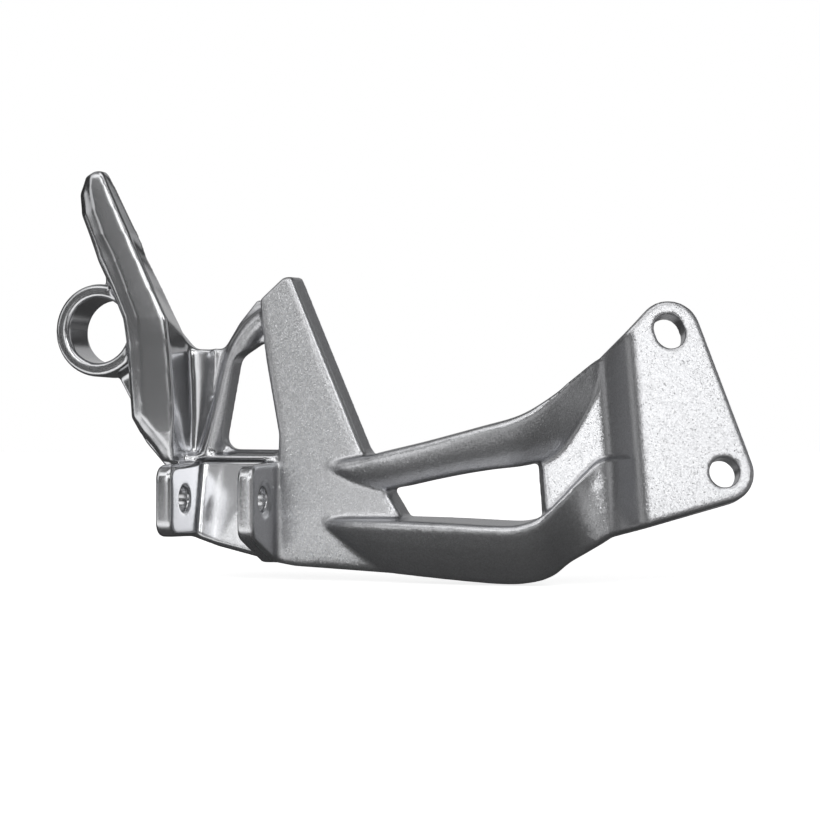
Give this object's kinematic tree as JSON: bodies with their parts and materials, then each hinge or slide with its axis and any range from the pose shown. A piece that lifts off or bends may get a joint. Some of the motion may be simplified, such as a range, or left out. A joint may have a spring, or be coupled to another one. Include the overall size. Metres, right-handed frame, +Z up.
{
  "type": "motorcycle footrest hanger",
  "caption": "Cast footrest hanger: a drilled mounting plate, two sculpted arms, a triangular blade, a footrest clevis, a slanting heel guard and a bush ring.",
  "frame": {"origin": "on the mounting plate's back face, half way between its two bolt holes", "axes": "+X from the bush ring towards the mounting plate, -Y outboard, away from the machine, +Z up"},
  "size_m": [0.2244, 0.0684, 0.1324],
  "materials": {
    "silver_paint": "metallic silver paint, satin to semi-gloss"
  },
  "bodies": {
    "root": {"hanger_casting": "silver_paint"}
  },
  "joints": []
}
